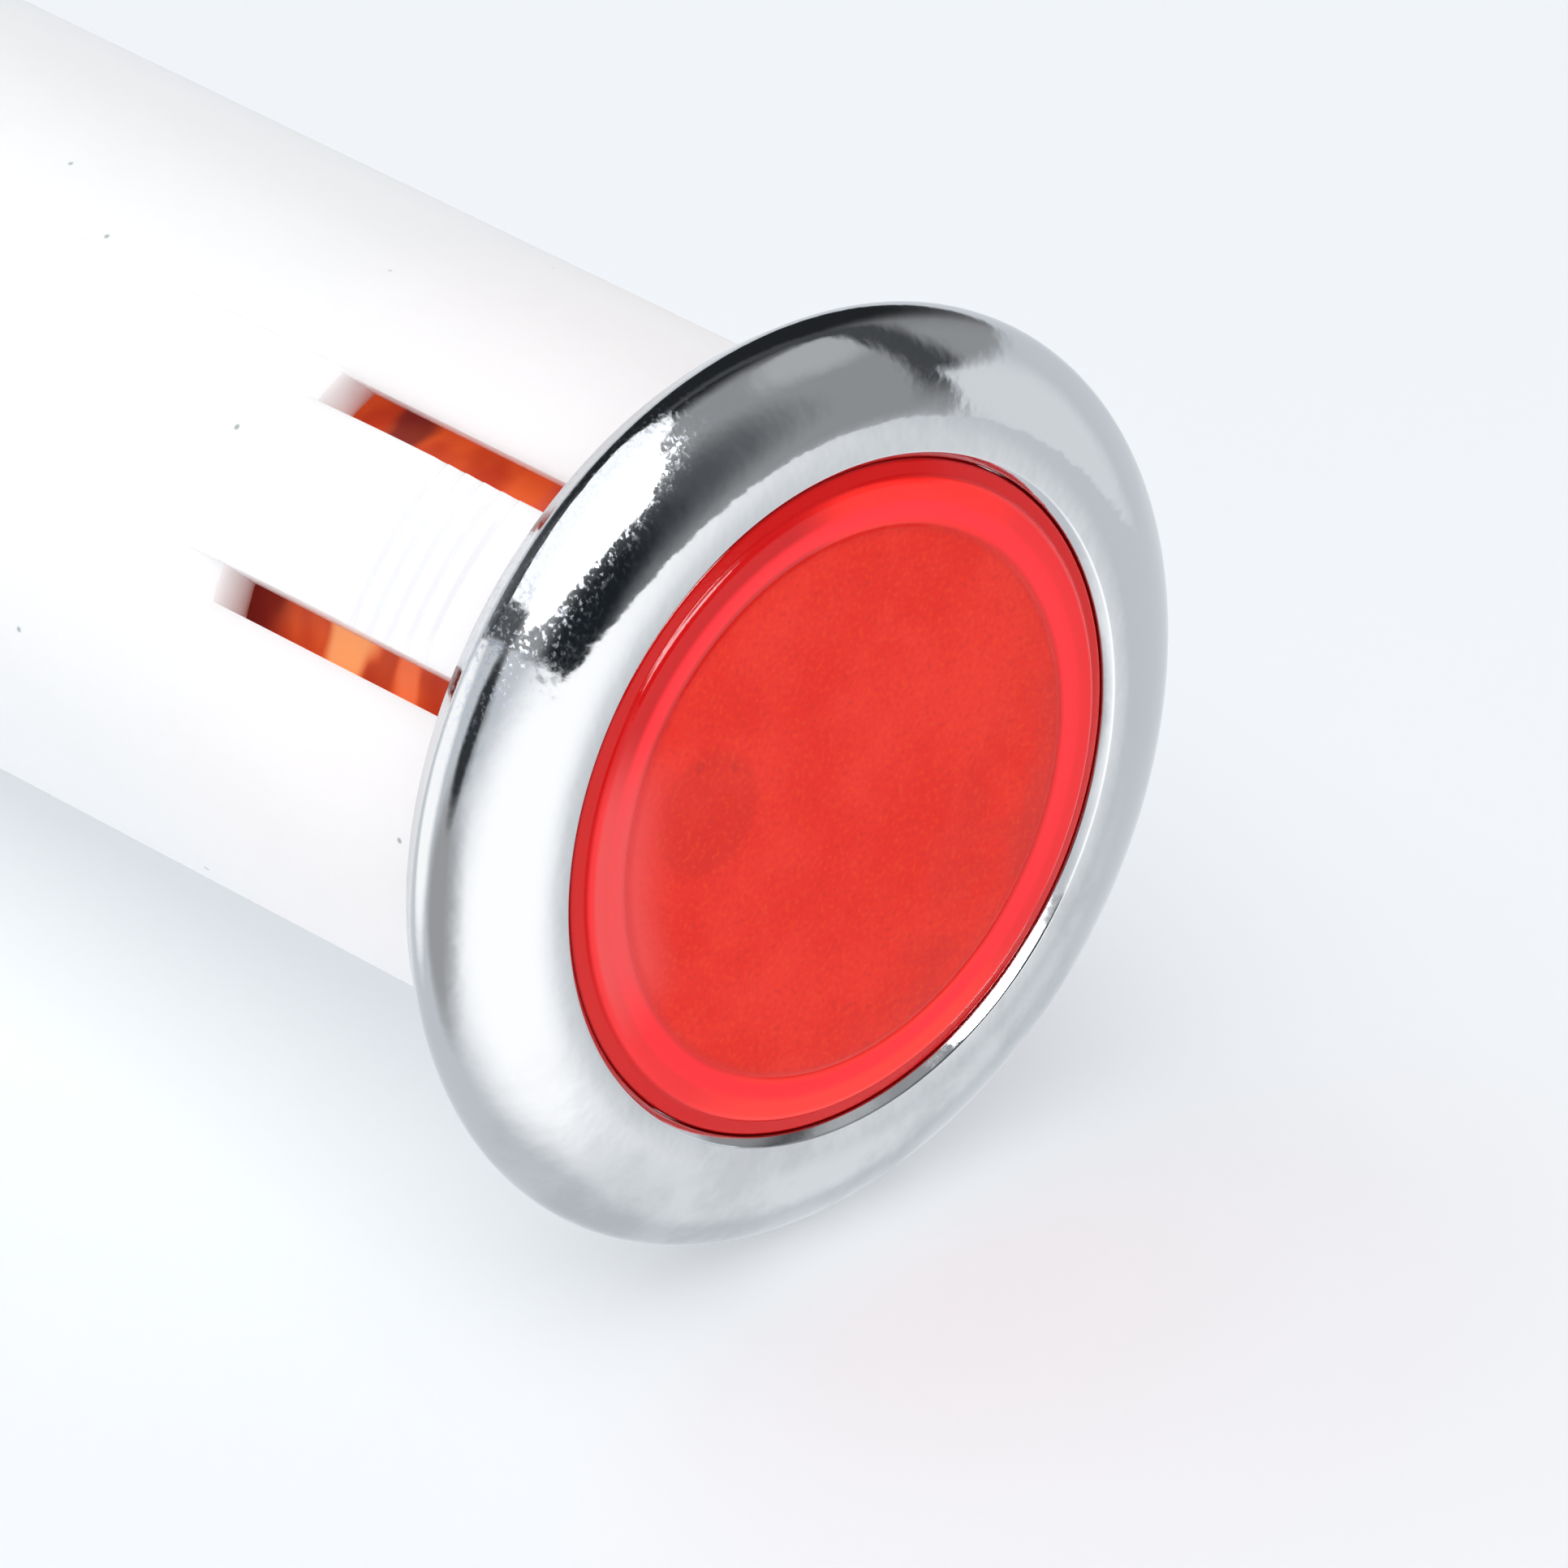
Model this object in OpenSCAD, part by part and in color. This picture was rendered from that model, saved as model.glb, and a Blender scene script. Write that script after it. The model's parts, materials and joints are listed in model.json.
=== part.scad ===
// Panel pilot light: a neon indicator that snaps into a round panel hole.
// The origin is the middle of the bezel's seat on the panel.
// The lens looks along -Y, the barrel runs back along +Y, and Z is up.

/* [Bezel] */
// Outside diameter of the bezel
bezel_d = 17.0; // [16.6:0.1:18]
// Height of the bezel's crest above the panel
bezel_h = 2.05; // [1.9:0.05:2.3]
// Radius of the bezel's outer rim
rim_r = 0.65; // [0.4:0.05:0.8]
// Radius of the roll around the lens
roll_r = 0.2; // [0.1:0.05:0.3]
// Width of the back face that sits on the panel
seat_w = 0.7; // [0.5:0.05:0.9]
// Thickness of the web that the lens head clamps
web_t = 0.55; // [0.4:0.05:0.6]

/* [Lens] */
// Diameter of the lens head
lens_d = 12.24; // [11.8:0.02:12.4]
// How far the lens face stands above the bezel's crest
lens_proud = 0.03; // [0:0.01:0.3]
// Diameter of the frosted disc in the middle of the face
disc_d = 10.0; // [8:0.1:10.6]
// How far the face's rounded shoulder drops between the disc and the edge
shoulder_drop = 0.35; // [0.1:0.05:0.5]
// Thickness of the lens face
face_t = 1.1; // [0.8:0.1:1.4]
// Room between the skirt and the barrel, for the fingers to spring in
skirt_gap = 0.35; // [0.3:0.05:0.6]
// Wall of the lens skirt
skirt_wall = 0.65; // [0.5:0.05:0.7]
// How far behind the panel seat the skirt ends
skirt_end = 8.6; // [8:0.1:10]

/* [Barrel] */
// Outside diameter of the barrel
barrel_d = 12.4; // [12.2:0.1:12.6]
// Wall of the barrel
barrel_wall = 0.9; // [0.7:0.05:1]
// Length of the barrel behind the panel seat
barrel_l = 27; // [26:0.5:34]
// Thickness of the flange
flange_t = 0.6; // [0.4:0.05:0.8]
// Length of the collar that the lens skirt is pressed into
collar_l = 0.5; // [0.2:0.1:0.5]

/* [Snap fingers] */
// Direction of the fingers around the barrel, in degrees up from +X
finger_angle = 134; // [0:1:180]
// Width of a finger
finger_w = 3.2; // [2.4:0.1:3.8]
// Width of the slot on each side of a finger
slot_w = 0.65; // [0.5:0.05:0.9]
// Where the slots start behind the panel seat
slot_z = 0.6; // [0.6:0.1:0.9]
// Where the slots end behind the panel seat
slot_end = 7.6; // [7:0.1:8]
// How far the finger's crest stands out of the barrel
finger_rise = 0.45; // [0.3:0.05:0.55]
// Where the finger's crest is behind the panel seat
crest_z = 4.2; // [4:0.1:5]
// Where the finger's ramp fades into the barrel
ramp_end = 9.6; // [8.5:0.1:11]
// Pitch of the grip ridges
ridge_pitch = 0.42; // [0.3:0.02:0.46]
// Number of grip ridges
ridge_n = 5; // [3:1:6]
// Depth of the grip ridges
ridge_h = 0.1; // [0.04:0.01:0.16]

/* [Terminals] */
// Width of a terminal blade
blade_w = 4.75; // [2.8:0.05:4.8]
// Thickness of a terminal blade
blade_t = 0.5; // [0.4:0.1:0.8]
// Length of a blade outside the base
blade_l = 6.3; // [5:0.1:8]
// Distance between the two blades, middle to middle
blade_gap = 5.8; // [5.4:0.1:6.2]
// Diameter of the hole near the tip of a blade
blade_hole_d = 1.3; // [1:0.1:1.6]
// Thickness of the base's rear flange
base_flange_t = 1.2; // [0.8:0.1:2]
// Depth of the base's plug inside the barrel
base_plug_l = 4.5; // [3:0.5:4.5]

/* [Lamp] */
// Play between the lamp's glass and the lens skirt
lamp_play = 0.2; // [0.1:0.05:0.3]
// Where the tip of the glass is behind the panel seat
lamp_tip_z = 0.8; // [0.6:0.1:1]
// Diameter of the sealed tip of the glass
nipple_d = 2.0; // [1.4:0.1:2.4]
// How far the lamp leans to one side of the barrel
lamp_off = 1.15; // [0.9:0.05:1.2]
// Diameter of an electrode
electrode_d = 0.9; // [0.6:0.1:1.2]
// Distance between the electrodes, middle to middle
electrode_gap = 2.2; // [1.6:0.1:2.4]
// Length of the glass's flat pinch
pinch_l = 1.9; // [1.5:0.1:2.2]
// Diameter of the lamp's leads
lead_d = 0.4; // [0.3:0.05:0.5]
// Wall of the sleeve on the first lead
sleeve_wall = 0.25; // [0.15:0.05:0.3]

/* [Resistor] */
// Diameter of the resistor
resistor_d = 2.3; // [1.8:0.1:2.4]
// Length of the resistor
resistor_l = 5.4; // [4.5:0.1:5.6]
// Distance of the resistor's axis from the barrel's axis
resistor_off = 1.9; // [1.8:0.05:2.1]
// Diameter of the resistor's leads
res_lead_d = 0.5; // [0.4:0.05:0.6]

/* [Hidden] */
$fn = 96;
eps = 0.01;
gap = 0.05;          // play between parts that drop in
press = 0.02;        // play left at a press fit
chamfer = 0.3;       // edges of the base
fillet_h = 0.15;     // height of a solder joint on a terminal's tail
wire_end = 0.15;     // bare wire left past a joint
wire_run = 0.35;     // bare wire between two pieces that it joins

bezel_r = bezel_d / 2;
lens_r = lens_d / 2;
barrel_r = barrel_d / 2;
bore_r = barrel_r - barrel_wall;
skirt_r = bore_r - skirt_gap;
rim_foot = 0.15;     // straight foot between the seat and the rim's rounding
seat_r = bezel_r - (rim_r + rim_foot) / 2;
flange_r = seat_r - seat_w;
lamp_r = skirt_r - skirt_wall - lamp_off - lamp_play;

flange_front = -gap - flange_t;
web_back = flange_front - gap;
web_front = web_back - web_t;
lens_seat = web_front - press;
face_z = -bezel_h - lens_proud;
lip_r = lens_r + gap;

base_front = barrel_l - base_plug_l;
base_rear = barrel_l + base_flange_t;
blade_x = blade_gap / 2;
tip_z = base_rear + blade_l;
stop_w = 0.35;       // how far a terminal's shoulders reach past its blade
shoulder_z = base_front - blade_t * 1.2;
tail_w = blade_w / 2;
tail_z = shoulder_z - tail_w * 2 / 3;
tail_hole_d = tail_w * 0.42;
tail_hole_z = (tail_z + shoulder_z) / 2;

resistor_z1 = tail_z - wire_run;
resistor_z0 = resistor_z1 - resistor_l;
cap_l = resistor_l / 5;
cap_wall = 0.2;
splice_l = 0.9;
splice_z1 = resistor_z0 - wire_run;
splice_z0 = splice_z1 - splice_l;
splice_y = resistor_off - res_lead_d / 2 - lead_d / 2 - 2 * press;

glass_wall = 0.5;
pinch_t = lamp_r * 0.58;
pinch_end = splice_z0 - 2 * wire_run;
glass_end = pinch_end - pinch_l;
lamp_l = glass_end - lamp_tip_z;
lead_a_y = -lamp_off - electrode_gap / 2;
lead_b_y = -lamp_off + electrode_gap / 2;
electrode_z0 = glass_end - lamp_l * 0.62;
electrode_z1 = glass_end - lamp_l * 0.16;

// Points of an arc from angle a0 to a1 around [x, z]
function arc(x, z, r, a0, a1, n = 8) =
    [for (i = [0:n]) let (a = a0 + (a1 - a0) * i / n) [x + r * cos(a), z + r * sin(a)]];

// Turns a part drawn along Z so that it runs back along +Y
module to_panel() {
    rotate([-90, 0, 0]) children();
}

// Turns a part so that its X axis points at the first finger
module to_finger() {
    to_panel() rotate([0, 0, -finger_angle]) children();
}

// A round wire through a list of points
module wire(points, d) {
    for (i = [1:len(points) - 1]) {
        a = points[i - 1];
        b = points[i];
        v = b - a;
        l = norm(v);
        translate(a) rotate([0, acos(v[2] / l), atan2(v[1], v[0])])
            cylinder(h = l, d = d, $fn = 32);
        if (i < len(points) - 1) translate(b) sphere(d = d, $fn = 32);
    }
}

// Chromed ring: a rounded rim, a domed front, a rolled lip and a web behind the lens
module bezel() {
    rim_x = bezel_r - rim_r;
    rim_z = -rim_r - rim_foot;
    crest_x = lip_r + 2 * roll_r;
    rise = bezel_h + rim_z - rim_r;
    turn = 90 - 2 * atan(rise / (rim_x - crest_x));
    reach = (rim_x - crest_x) / cos(turn);
    color("silver") to_panel() rotate_extrude() polygon(concat(
        [[flange_r + gap, 0], [seat_r, 0]],
        arc(rim_x, rim_z, rim_r, 40, -turn),
        arc(crest_x, rim_z + reach * sin(turn), reach + rim_r, -turn, -90),
        arc(lip_r + roll_r, -bezel_h + roll_r, roll_r, -90, -180, 6),
        [[lip_r, web_front], [skirt_r + gap, web_front], [skirt_r + gap, web_back],
         [flange_r + gap, web_back]]));
}

// Red lens: a head with a frosted disc, a rounded shoulder and a skirt in the barrel
module lens() {
    disc_r = disc_d / 2;
    inner_r = skirt_r - skirt_wall;
    color("red") to_panel() rotate_extrude() polygon(concat(
        [[0, face_z], [disc_r, face_z]],
        [for (i = [1:8]) let (a = 90 * i / 8)
            [disc_r + (lens_r - disc_r) * sin(a), face_z + shoulder_drop * (1 - cos(a))]],
        [[lens_r, lens_seat], [skirt_r, lens_seat], [skirt_r, skirt_end],
         [inner_r, skirt_end], [inner_r, face_z + face_t], [0, face_z + face_t]]));
}

// Outline of a finger along the barrel: ridges, crest and ramp
module finger_ring() {
    start = slot_z + slot_w;
    foot = barrel_r + finger_rise * 0.35;
    crest = barrel_r + finger_rise;
    ridges_z = crest_z - ridge_n * ridge_pitch;
    slope = (crest - foot) / (crest_z - start);
    rotate_extrude() polygon(concat(
        [[bore_r, start], [foot, start]],
        [for (i = [0:ridge_n - 1], k = [0:1])
            let (z = ridges_z + (i + k * 0.5) * ridge_pitch)
            [foot + slope * (z - start) - (k == 0 ? 0 : ridge_h), z]],
        [[crest, crest_z], [crest, crest_z + 0.5], [barrel_r - eps, ramp_end],
         [bore_r, ramp_end]]));
}

// White moulded barrel with its flange and two snap fingers
module housing() {
    color("white") to_finger() difference() {
        union() {
            rotate_extrude() polygon([
                [skirt_r + press, flange_front], [flange_r, flange_front],
                [flange_r, -gap], [barrel_r, -gap], [barrel_r, barrel_l],
                [bore_r, barrel_l], [bore_r, collar_l], [skirt_r + press, collar_l]]);
            intersection() {
                finger_ring();
                translate([-barrel_d, -finger_w / 2, slot_z])
                    cube([2 * barrel_d, finger_w, ramp_end]);
            }
        }
        for (s = [-1, 1])
            translate([-barrel_d, s * (finger_w + slot_w) / 2 - slot_w / 2, slot_z])
                cube([2 * barrel_d, slot_w, slot_end - slot_z]);
        translate([-barrel_d, -finger_w / 2 - eps, slot_z])
            cube([2 * barrel_d, finger_w + 2 * eps, slot_w]);
    }
}

// White plug that closes the barrel and holds the blades
module base() {
    color("ivory") to_finger() difference() {
        rotate_extrude() polygon([
            [0, base_front], [bore_r - press - chamfer, base_front],
            [bore_r - press, base_front + chamfer], [bore_r - press, barrel_l],
            [barrel_r, barrel_l], [barrel_r, base_rear - chamfer],
            [barrel_r - chamfer, base_rear], [0, base_rear]]);
        for (s = [-1, 1])
            translate([-blade_w / 2 - press, s * blade_x - blade_t / 2 - press, base_front - 1])
                cube([blade_w + 2 * press, blade_t + 2 * press, base_plug_l + base_flange_t + 2]);
    }
}

// Tab terminal: solder tail, shoulders that stop on the base, and the blade
module terminal(side) {
    half = blade_w / 2;
    tip = blade_w * 0.15;
    color("lightgray") to_finger()
    translate([0, side * blade_x + blade_t / 2, 0]) rotate([90, 0, 0])
    linear_extrude(blade_t) difference() {
        polygon([
            [-tail_w / 2, tail_z], [tail_w / 2, tail_z], [tail_w / 2, shoulder_z],
            [half + stop_w, shoulder_z], [half + stop_w, base_front], [half, base_front],
            [half, tip_z - tip], [half - tip, tip_z], [tip - half, tip_z],
            [-half, tip_z - tip], [-half, base_front], [-half - stop_w, base_front],
            [-half - stop_w, shoulder_z], [-tail_w / 2, shoulder_z]]);
        translate([0, tail_hole_z]) circle(d = tail_hole_d, $fn = 48);
        translate([0, tip_z - 2 * blade_hole_d]) circle(d = blade_hole_d, $fn = 32);
    }
}

// Round glass profile of the lamp, shrunk by a wall
module glass_form(wall) {
    r = lamp_r - wall;
    neck = nipple_d / 2 - wall / 2;
    shoulder = lamp_tip_z + 1.0 + lamp_r * 0.55;
    rotate_extrude() polygon(concat(
        [[0, lamp_tip_z + wall * 1.6]],
        [for (i = [1:4]) let (a = 90 * i / 4)
            [neck * sin(a), lamp_tip_z + wall * 1.6 + neck * 0.9 * (1 - cos(a))]],
        [for (i = [1:6]) let (a = 90 * i / 6)
            [neck + (r - neck) * sin(a), shoulder - (shoulder - lamp_tip_z - 1.1 - wall) * cos(a)]],
        [[r, glass_end - 0.9], [r * 0.62, glass_end - wall * 1.6], [0, glass_end - wall * 1.6]]));
}

// Glass of the neon lamp with its sealed tip and its flat pinch
module envelope() {
    color("lightblue", 0.4) to_finger() difference() {
        translate([0, -lamp_off, 0]) difference() {
            union() {
                glass_form(0);
                translate([-pinch_t / 2, -lamp_r * 0.62, glass_end - 1])
                    cube([pinch_t, lamp_r * 1.24, pinch_end - glass_end + 1]);
            }
            glass_form(glass_wall);
        }
        for (y = [lead_a_y, lead_b_y])
            translate([0, y, electrode_z1])
                cylinder(h = pinch_end, d = lead_d + press, $fn = 32);
    }
}

// Nickel electrode inside the glass
module electrode(y) {
    color("gray") to_finger() translate([0, y, electrode_z0])
        cylinder(h = electrode_z1 - electrode_z0, d = electrode_d, $fn = 32);
}

// Where the leads run
function lead_a_path() = [[0, lead_a_y, electrode_z1], [0, lead_a_y, tail_hole_z],
                          [0, -blade_x - blade_t - wire_end, tail_hole_z]];
function lead_b_path() = [[0, lead_b_y, electrode_z1], [0, lead_b_y, pinch_end + wire_run],
                          [0, splice_y, pinch_end + wire_run], [0, splice_y, splice_z1 + wire_end]];
function res_a_path() = [[0, resistor_off, resistor_z0], [0, resistor_off, splice_z0 - wire_end]];
function res_b_path() = [[0, resistor_off, resistor_z1], [0, resistor_off, tail_hole_z],
                         [0, blade_x + blade_t + wire_end, tail_hole_z]];

// Lead from the lamp to the first terminal
module lamp_lead_a() {
    color("goldenrod") to_finger() wire(lead_a_path(), lead_d);
}

// Lead from the lamp to the resistor
module lamp_lead_b() {
    color("goldenrod") to_finger() wire(lead_b_path(), lead_d);
}

// Insulating sleeve on the first lead
module sleeve() {
    start = pinch_end + wire_run;
    inside = lead_d + 2 * gap;
    color("khaki") to_finger() translate([0, lead_a_y, start]) difference() {
        cylinder(h = tail_z - wire_run - start, d = inside + 2 * sleeve_wall, $fn = 32);
        translate([0, 0, -gap]) cylinder(h = barrel_l, d = inside, $fn = 32);
    }
}

// Solder around the two wires where the lamp meets the resistor
module splice() {
    d = lead_d + res_lead_d + 2 * cap_wall;
    y = resistor_off - lead_d / 2;
    color("darkgray") to_finger() difference() {
        translate([0, y, splice_z0]) cylinder(h = splice_z1 - splice_z0, d = d, $fn = 32);
        wire(lead_b_path(), lead_d);
        wire(res_a_path(), res_lead_d);
    }
}

// Coated ceramic rod of the resistor, necked for its caps
module resistor_core() {
    color("peru") to_finger() translate([0, resistor_off, 0]) union() {
        translate([0, 0, resistor_z0 + cap_wall])
            cylinder(h = resistor_l - 2 * cap_wall, d = resistor_d - 2 * cap_wall, $fn = 48);
        translate([0, 0, resistor_z0 + cap_l])
            cylinder(h = resistor_l - 2 * cap_l, d = resistor_d - cap_wall, $fn = 48);
    }
}

// Pressed steel cap on an end of the resistor
module resistor_cap(z, dir) {
    color("silver") to_finger() translate([0, resistor_off, z]) mirror([0, 0, dir > 0 ? 0 : 1])
    difference() {
        cylinder(h = cap_l, d = resistor_d, $fn = 48);
        translate([0, 0, cap_wall])
            cylinder(h = cap_l, d = resistor_d - 2 * cap_wall, $fn = 48);
    }
}

// Solder that fills the hole of a terminal's tail and stands up on both faces
module solder(side, path, d) {
    hole_r = tail_hole_d / 2;
    half = blade_t / 2;
    color("darkgray") to_finger() difference() {
        translate([0, side * blade_x, tail_hole_z]) rotate([-90, 0, 0]) rotate_extrude($fn = 48)
            polygon([
                [0, -half - fillet_h], [hole_r, -half - fillet_h], [hole_r * 1.5, -half],
                [hole_r, -half], [hole_r, half], [hole_r * 1.5, half],
                [hole_r, half + fillet_h], [0, half + fillet_h]]);
        wire(path, d);
    }
}

bezel();
lens();
housing();
base();
terminal(-1);  // terminal_a
terminal(1);  // terminal_b
envelope();
electrode(lead_a_y);  // electrode_a
electrode(lead_b_y);  // electrode_b
lamp_lead_a();
lamp_lead_b();
sleeve();
splice();
resistor_core();
resistor_cap(resistor_z0, 1);  // resistor_cap_a
resistor_cap(resistor_z1, -1);  // resistor_cap_b
union() {  // resistor_lead_a
    color("silver") to_finger() wire(res_a_path(), res_lead_d);
}
union() {  // resistor_lead_b
    color("silver") to_finger() wire(res_b_path(), res_lead_d);
}
solder(-1, lead_a_path(), lead_d);  // solder_a
solder(1, res_b_path(), res_lead_d);  // solder_b
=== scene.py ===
"""Panel pilot light: finishes, fine edges, stage and camera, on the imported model's frame."""

import json
import math

import bmesh
import bpy
from mathutils import Matrix, Vector


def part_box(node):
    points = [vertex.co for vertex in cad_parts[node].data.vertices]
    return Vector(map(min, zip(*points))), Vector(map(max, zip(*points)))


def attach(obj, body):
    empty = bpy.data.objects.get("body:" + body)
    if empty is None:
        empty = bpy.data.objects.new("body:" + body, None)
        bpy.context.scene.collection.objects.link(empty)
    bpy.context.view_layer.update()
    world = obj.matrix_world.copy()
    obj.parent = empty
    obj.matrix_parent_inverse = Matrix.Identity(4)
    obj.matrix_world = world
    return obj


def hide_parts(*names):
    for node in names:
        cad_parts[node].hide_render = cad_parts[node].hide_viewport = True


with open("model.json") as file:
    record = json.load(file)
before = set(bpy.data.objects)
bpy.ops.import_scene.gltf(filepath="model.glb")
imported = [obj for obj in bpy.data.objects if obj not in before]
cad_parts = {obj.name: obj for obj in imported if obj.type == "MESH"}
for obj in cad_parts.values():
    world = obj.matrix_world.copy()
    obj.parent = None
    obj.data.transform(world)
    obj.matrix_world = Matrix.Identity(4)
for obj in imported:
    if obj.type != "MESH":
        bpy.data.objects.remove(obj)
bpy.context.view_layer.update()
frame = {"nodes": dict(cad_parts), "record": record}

MM = 0.001


# ---------------------------------------------------------------- sizes, in millimetres
def size_of(node_name):
    """Lowest and highest corner of a CAD node, in millimetres."""
    low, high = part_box(node_name)
    return low / MM, high / MM


bezel_low, bezel_high = size_of("bezel")
lens_low, lens_high = size_of("lens")
housing_low, housing_high = size_of("housing")
base_high = size_of("base")[1]

GAP = 0.05  # play between parts that drop in
PRESS = 0.02  # play left at a press fit

# Bezel
BEZEL_R = bezel_high.x
BEZEL_H = -bezel_low.y
RIM_R = 0.65  # rounding of the outer rim
RIM_STAND = 0.15  # height of the rim's rounding off the panel
LIP = 0.4  # from the lip out to the crest
LIP_BEVEL = 0.17  # slope of the lip down to the lens
LIP_EDGE_R = 0.07  # rounding at both ends of that slope
WEB_T = 0.55  # web that lies on the barrel's flange

# Barrel, which is the housing without its fingers
BARREL_R = base_high.x
BARREL_L = housing_high.y
REAR = base_high.y
REAR_EDGE = 0.3  # slope at the barrel's rear edge
WALL = 0.9
BORE_R = BARREL_R - WALL
FLANGE_R = housing_high.x
FLANGE_FRONT = housing_low.y
WEB_FRONT = FLANGE_FRONT - GAP - WEB_T  # front of the bezel's web
FLANGE_EDGE = 0.1  # slope at the flange's outer edges
FLANGE_ROOT = 0.15  # slope where the flange meets the barrel
COLLAR_END = 0.5  # depth of the collar that takes the lens skirt

# Snap fingers and their slots: distances back from the panel, where nothing else is said
FINGER_ANGLE = 134.0  # direction of the first finger, in degrees up from +X
FINGER_W = 3.2
FINGER_RISE = 0.45
FOOT_SHARE = 0.35  # share of the rise that the finger has at its free end
SLOT_W = 0.65
SLOT_START = 0.6
SLOT_END = 7.6
CREST = 4.2  # where the finger stands out most
CREST_FLAT = 0.5
RAMP_END = 9.6
RAMP_STEPS = 10
RIDGES = 5
RIDGE_PITCH = 0.42
RIDGE_H = 0.1
RIDGES_START = CREST - RIDGES * RIDGE_PITCH
RIDGE_SHAPE = ((0.0, 0.0), (0.16, 0.0), (0.42, RIDGE_H), (0.74, RIDGE_H))  # share of pitch, drop
OVERLAP = 0.01  # a cut's reach past what it cuts
WITNESS_OFFSET = 0.07  # from a slot's outer side to the mould's witness line
WITNESS_W = 0.05

# Lens
LENS_R = lens_high.x
FACE_H = -lens_low.y
FACE_T = 1.1
DISC_R = 5.0  # frosted disc in the face
STEP_R = 5.74  # small step near the edge
STEP_LEAD = 0.04  # from where the step's rounding starts out to the step
STEP_DROP = 0.03  # how far the face has fallen there
STEP_TILT = 10.0  # slope of the ledge outside the step, in degrees
STEP_BENDS = ((0.18, 3.5, 58.0), (0.05, 58.0, STEP_TILT))  # radius, slope before, slope after
DISC_GROOVE = ((-0.08, 0.0), (-0.03, 0.02), (0.0, 0.03), (0.04, 0.012))  # out from disc, down
LENS_EDGE_R = 0.09  # rounding of the front edge
LENS_BACK_EDGE = 0.05  # slope of the edge behind it
SKIRT_PLAY = 0.35  # between the skirt and the bore
SKIRT_R = BORE_R - SKIRT_PLAY
SKIRT_WALL = 0.65
SKIRT_END = lens_high.y
SKIRT_EDGE = 0.08  # slope at the skirt's end
SKIRT_ROOT = 0.15  # slope where the skirt meets the face

# Painted shadow of the lamp behind the frosted disc, as a spot and two dots, across and up
LAMP_SHADOW_SPOT = (-3.1, 1.1)
LAMP_SHADOW_DOTS = ((-3.19, 2.05), (-2.43, 1.74))

SHARP = 35.0  # an edge that turns by more degrees than this stays sharp
ROUNDED = 30.0  # and one that turns by more than this gets a small rounding
SEGMENTS = 256
HOUSING_SEGMENTS = 240


# ---------------------------------------------------------------- mesh helpers
def to_panel(angle=0.0):
    """Turns a piece drawn along Z to run back along +Y, with its X axis at angle up from +X."""
    lay_back = Matrix.Rotation(math.radians(-90), 4, "X")
    return lay_back @ Matrix.Rotation(math.radians(-angle), 4, "Z")


def arc(x, z, r, start, end, steps):
    """Points of an arc around (x, z), between two angles in degrees."""
    points = []
    for i in range(steps + 1):
        a = math.radians(start + (end - start) * i / steps)
        points.append((x + r * math.cos(a), z + r * math.sin(a)))
    return points


def bend(points, r, tilt_0, tilt_1, steps=8):
    """Carries an outline on round a corner of radius r, from one slope to another, in degrees."""
    side = 1 if tilt_1 > tilt_0 else -1
    x, z = points[-1]
    a0 = math.radians(tilt_0)
    for i in range(1, steps + 1):
        a = math.radians(tilt_0 + (tilt_1 - tilt_0) * i / steps)
        across = x + side * r * (math.sin(a) - math.sin(a0))
        points.append((across, z + side * r * (math.cos(a0) - math.cos(a))))


def add_object(name, bm):
    """Puts a bmesh into the scene as an object, and frees it."""
    mesh = bpy.data.meshes.new(name)
    bm.to_mesh(mesh)
    bm.free()
    obj = bpy.data.objects.new(name, mesh)
    bpy.context.scene.collection.objects.link(obj)
    return obj


def add_piece(name, bm, matrix):
    """Makes a smooth-shaded piece of a bmesh drawn in millimetres."""
    bmesh.ops.scale(bm, vec=(MM, MM, MM), verts=bm.verts)
    bmesh.ops.transform(bm, matrix=matrix, verts=bm.verts)
    bmesh.ops.recalc_face_normals(bm, faces=bm.faces)
    for edge in bm.edges:
        edge.smooth = edge.calc_face_angle(0.0) < math.radians(SHARP)
    for face in bm.faces:
        face.smooth = True
    return add_object(name, bm)


def ring_of_verts(bm, r, z, segments):
    """A ring of vertices around Z, or one vertex on the axis."""
    if r < 1e-6:
        return [bm.verts.new((0, 0, z))]
    angles = [2 * math.pi * i / segments for i in range(segments)]
    return [bm.verts.new((r * math.cos(a), r * math.sin(a), z)) for a in angles]


def lathe_bmesh(profile, segments=SEGMENTS, closed=True):
    """Turns (radius, z) points around Z."""
    bm = bmesh.new()
    rings = [ring_of_verts(bm, r, z, segments) for r, z in profile]
    pairs = list(zip(rings, rings[1:]))
    if closed:
        pairs.append((rings[-1], rings[0]))
    for low, high in pairs:
        if len(low) == 1 and len(high) == 1:
            continue
        for i in range(segments):
            j = (i + 1) % segments
            if len(low) == 1:
                bm.faces.new((low[0], high[i], high[j]))
            elif len(high) == 1:
                bm.faces.new((low[i], high[0], low[j]))
            else:
                bm.faces.new((low[i], high[i], high[j], low[j]))
    return bm


def boxes_bmesh(*corners):
    """Boxes from pairs of opposite corners."""
    bm = bmesh.new()
    for low, high in corners:
        middle = [(l + h) / 2 for l, h in zip(low, high)]
        size = [h - l for l, h in zip(low, high)]
        place = Matrix.Translation(middle) @ Matrix.Diagonal((*size, 1))
        bmesh.ops.create_cube(bm, size=1, matrix=place)
    return bm


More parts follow.
